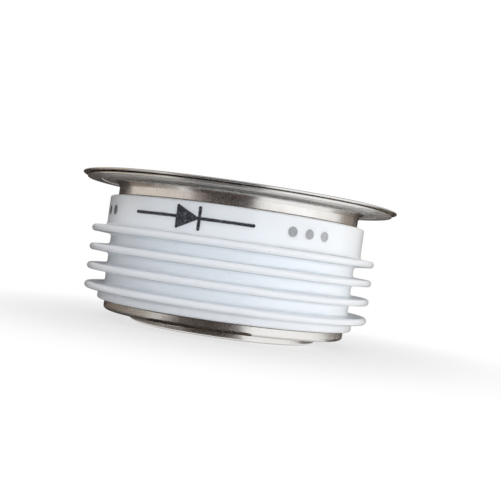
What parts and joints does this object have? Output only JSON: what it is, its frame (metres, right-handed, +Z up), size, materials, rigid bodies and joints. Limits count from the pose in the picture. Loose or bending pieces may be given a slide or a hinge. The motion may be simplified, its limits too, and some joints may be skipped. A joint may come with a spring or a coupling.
{
  "type": "disc rectifier diode",
  "caption": "Disc power diode: copper poles clamp a silicon wafer in a finned white ceramic ring, closed by a nickel-plated lid with a thin cold-welded double flange.",
  "frame": {"origin": "centre of the lower contact face, which is the bottom of the part", "axes": "+Z up along the disc's axis, from the lower contact face to the upper one, with the wide flange at the upper end"},
  "size_m": [0.0575, 0.0574, 0.026],
  "materials": {
    "glazed_alumina": "glossy white glaze",
    "plated_copper": "turned copper, satin nickel plate",
    "plated_sheet": "drawn sheet, satin nickel plate",
    "brazing": "dull grey brazing",
    "molybdenum": "lapped grey metal",
    "silicon": "polished dark grey",
    "silver": "bright foil",
    "silicone_rubber": "matt red-brown silicone",
    "centring_plastic": "white matt plastic"
  },
  "bodies": {
    "root": {"ceramic_insulator": "glazed_alumina", "lower_pole": "plated_copper", "upper_pole": "plated_copper", "lower_sealing_ring": "plated_sheet", "upper_weld_ring": "plated_sheet", "lid_diaphragm": "plated_sheet", "lower_seal_braze": "brazing", "upper_seal_braze": "brazing", "lower_pole_braze": "brazing", "lid_braze": "brazing", "lower_molybdenum_disc": "molybdenum", "silicon_wafer": "silicon", "silver_foil": "silver", "upper_molybdenum_disc": "molybdenum", "wafer_edge_bead": "silicone_rubber", "lower_centring_ring": "centring_plastic", "upper_centring_ring": "centring_plastic"}
  },
  "joints": []
}
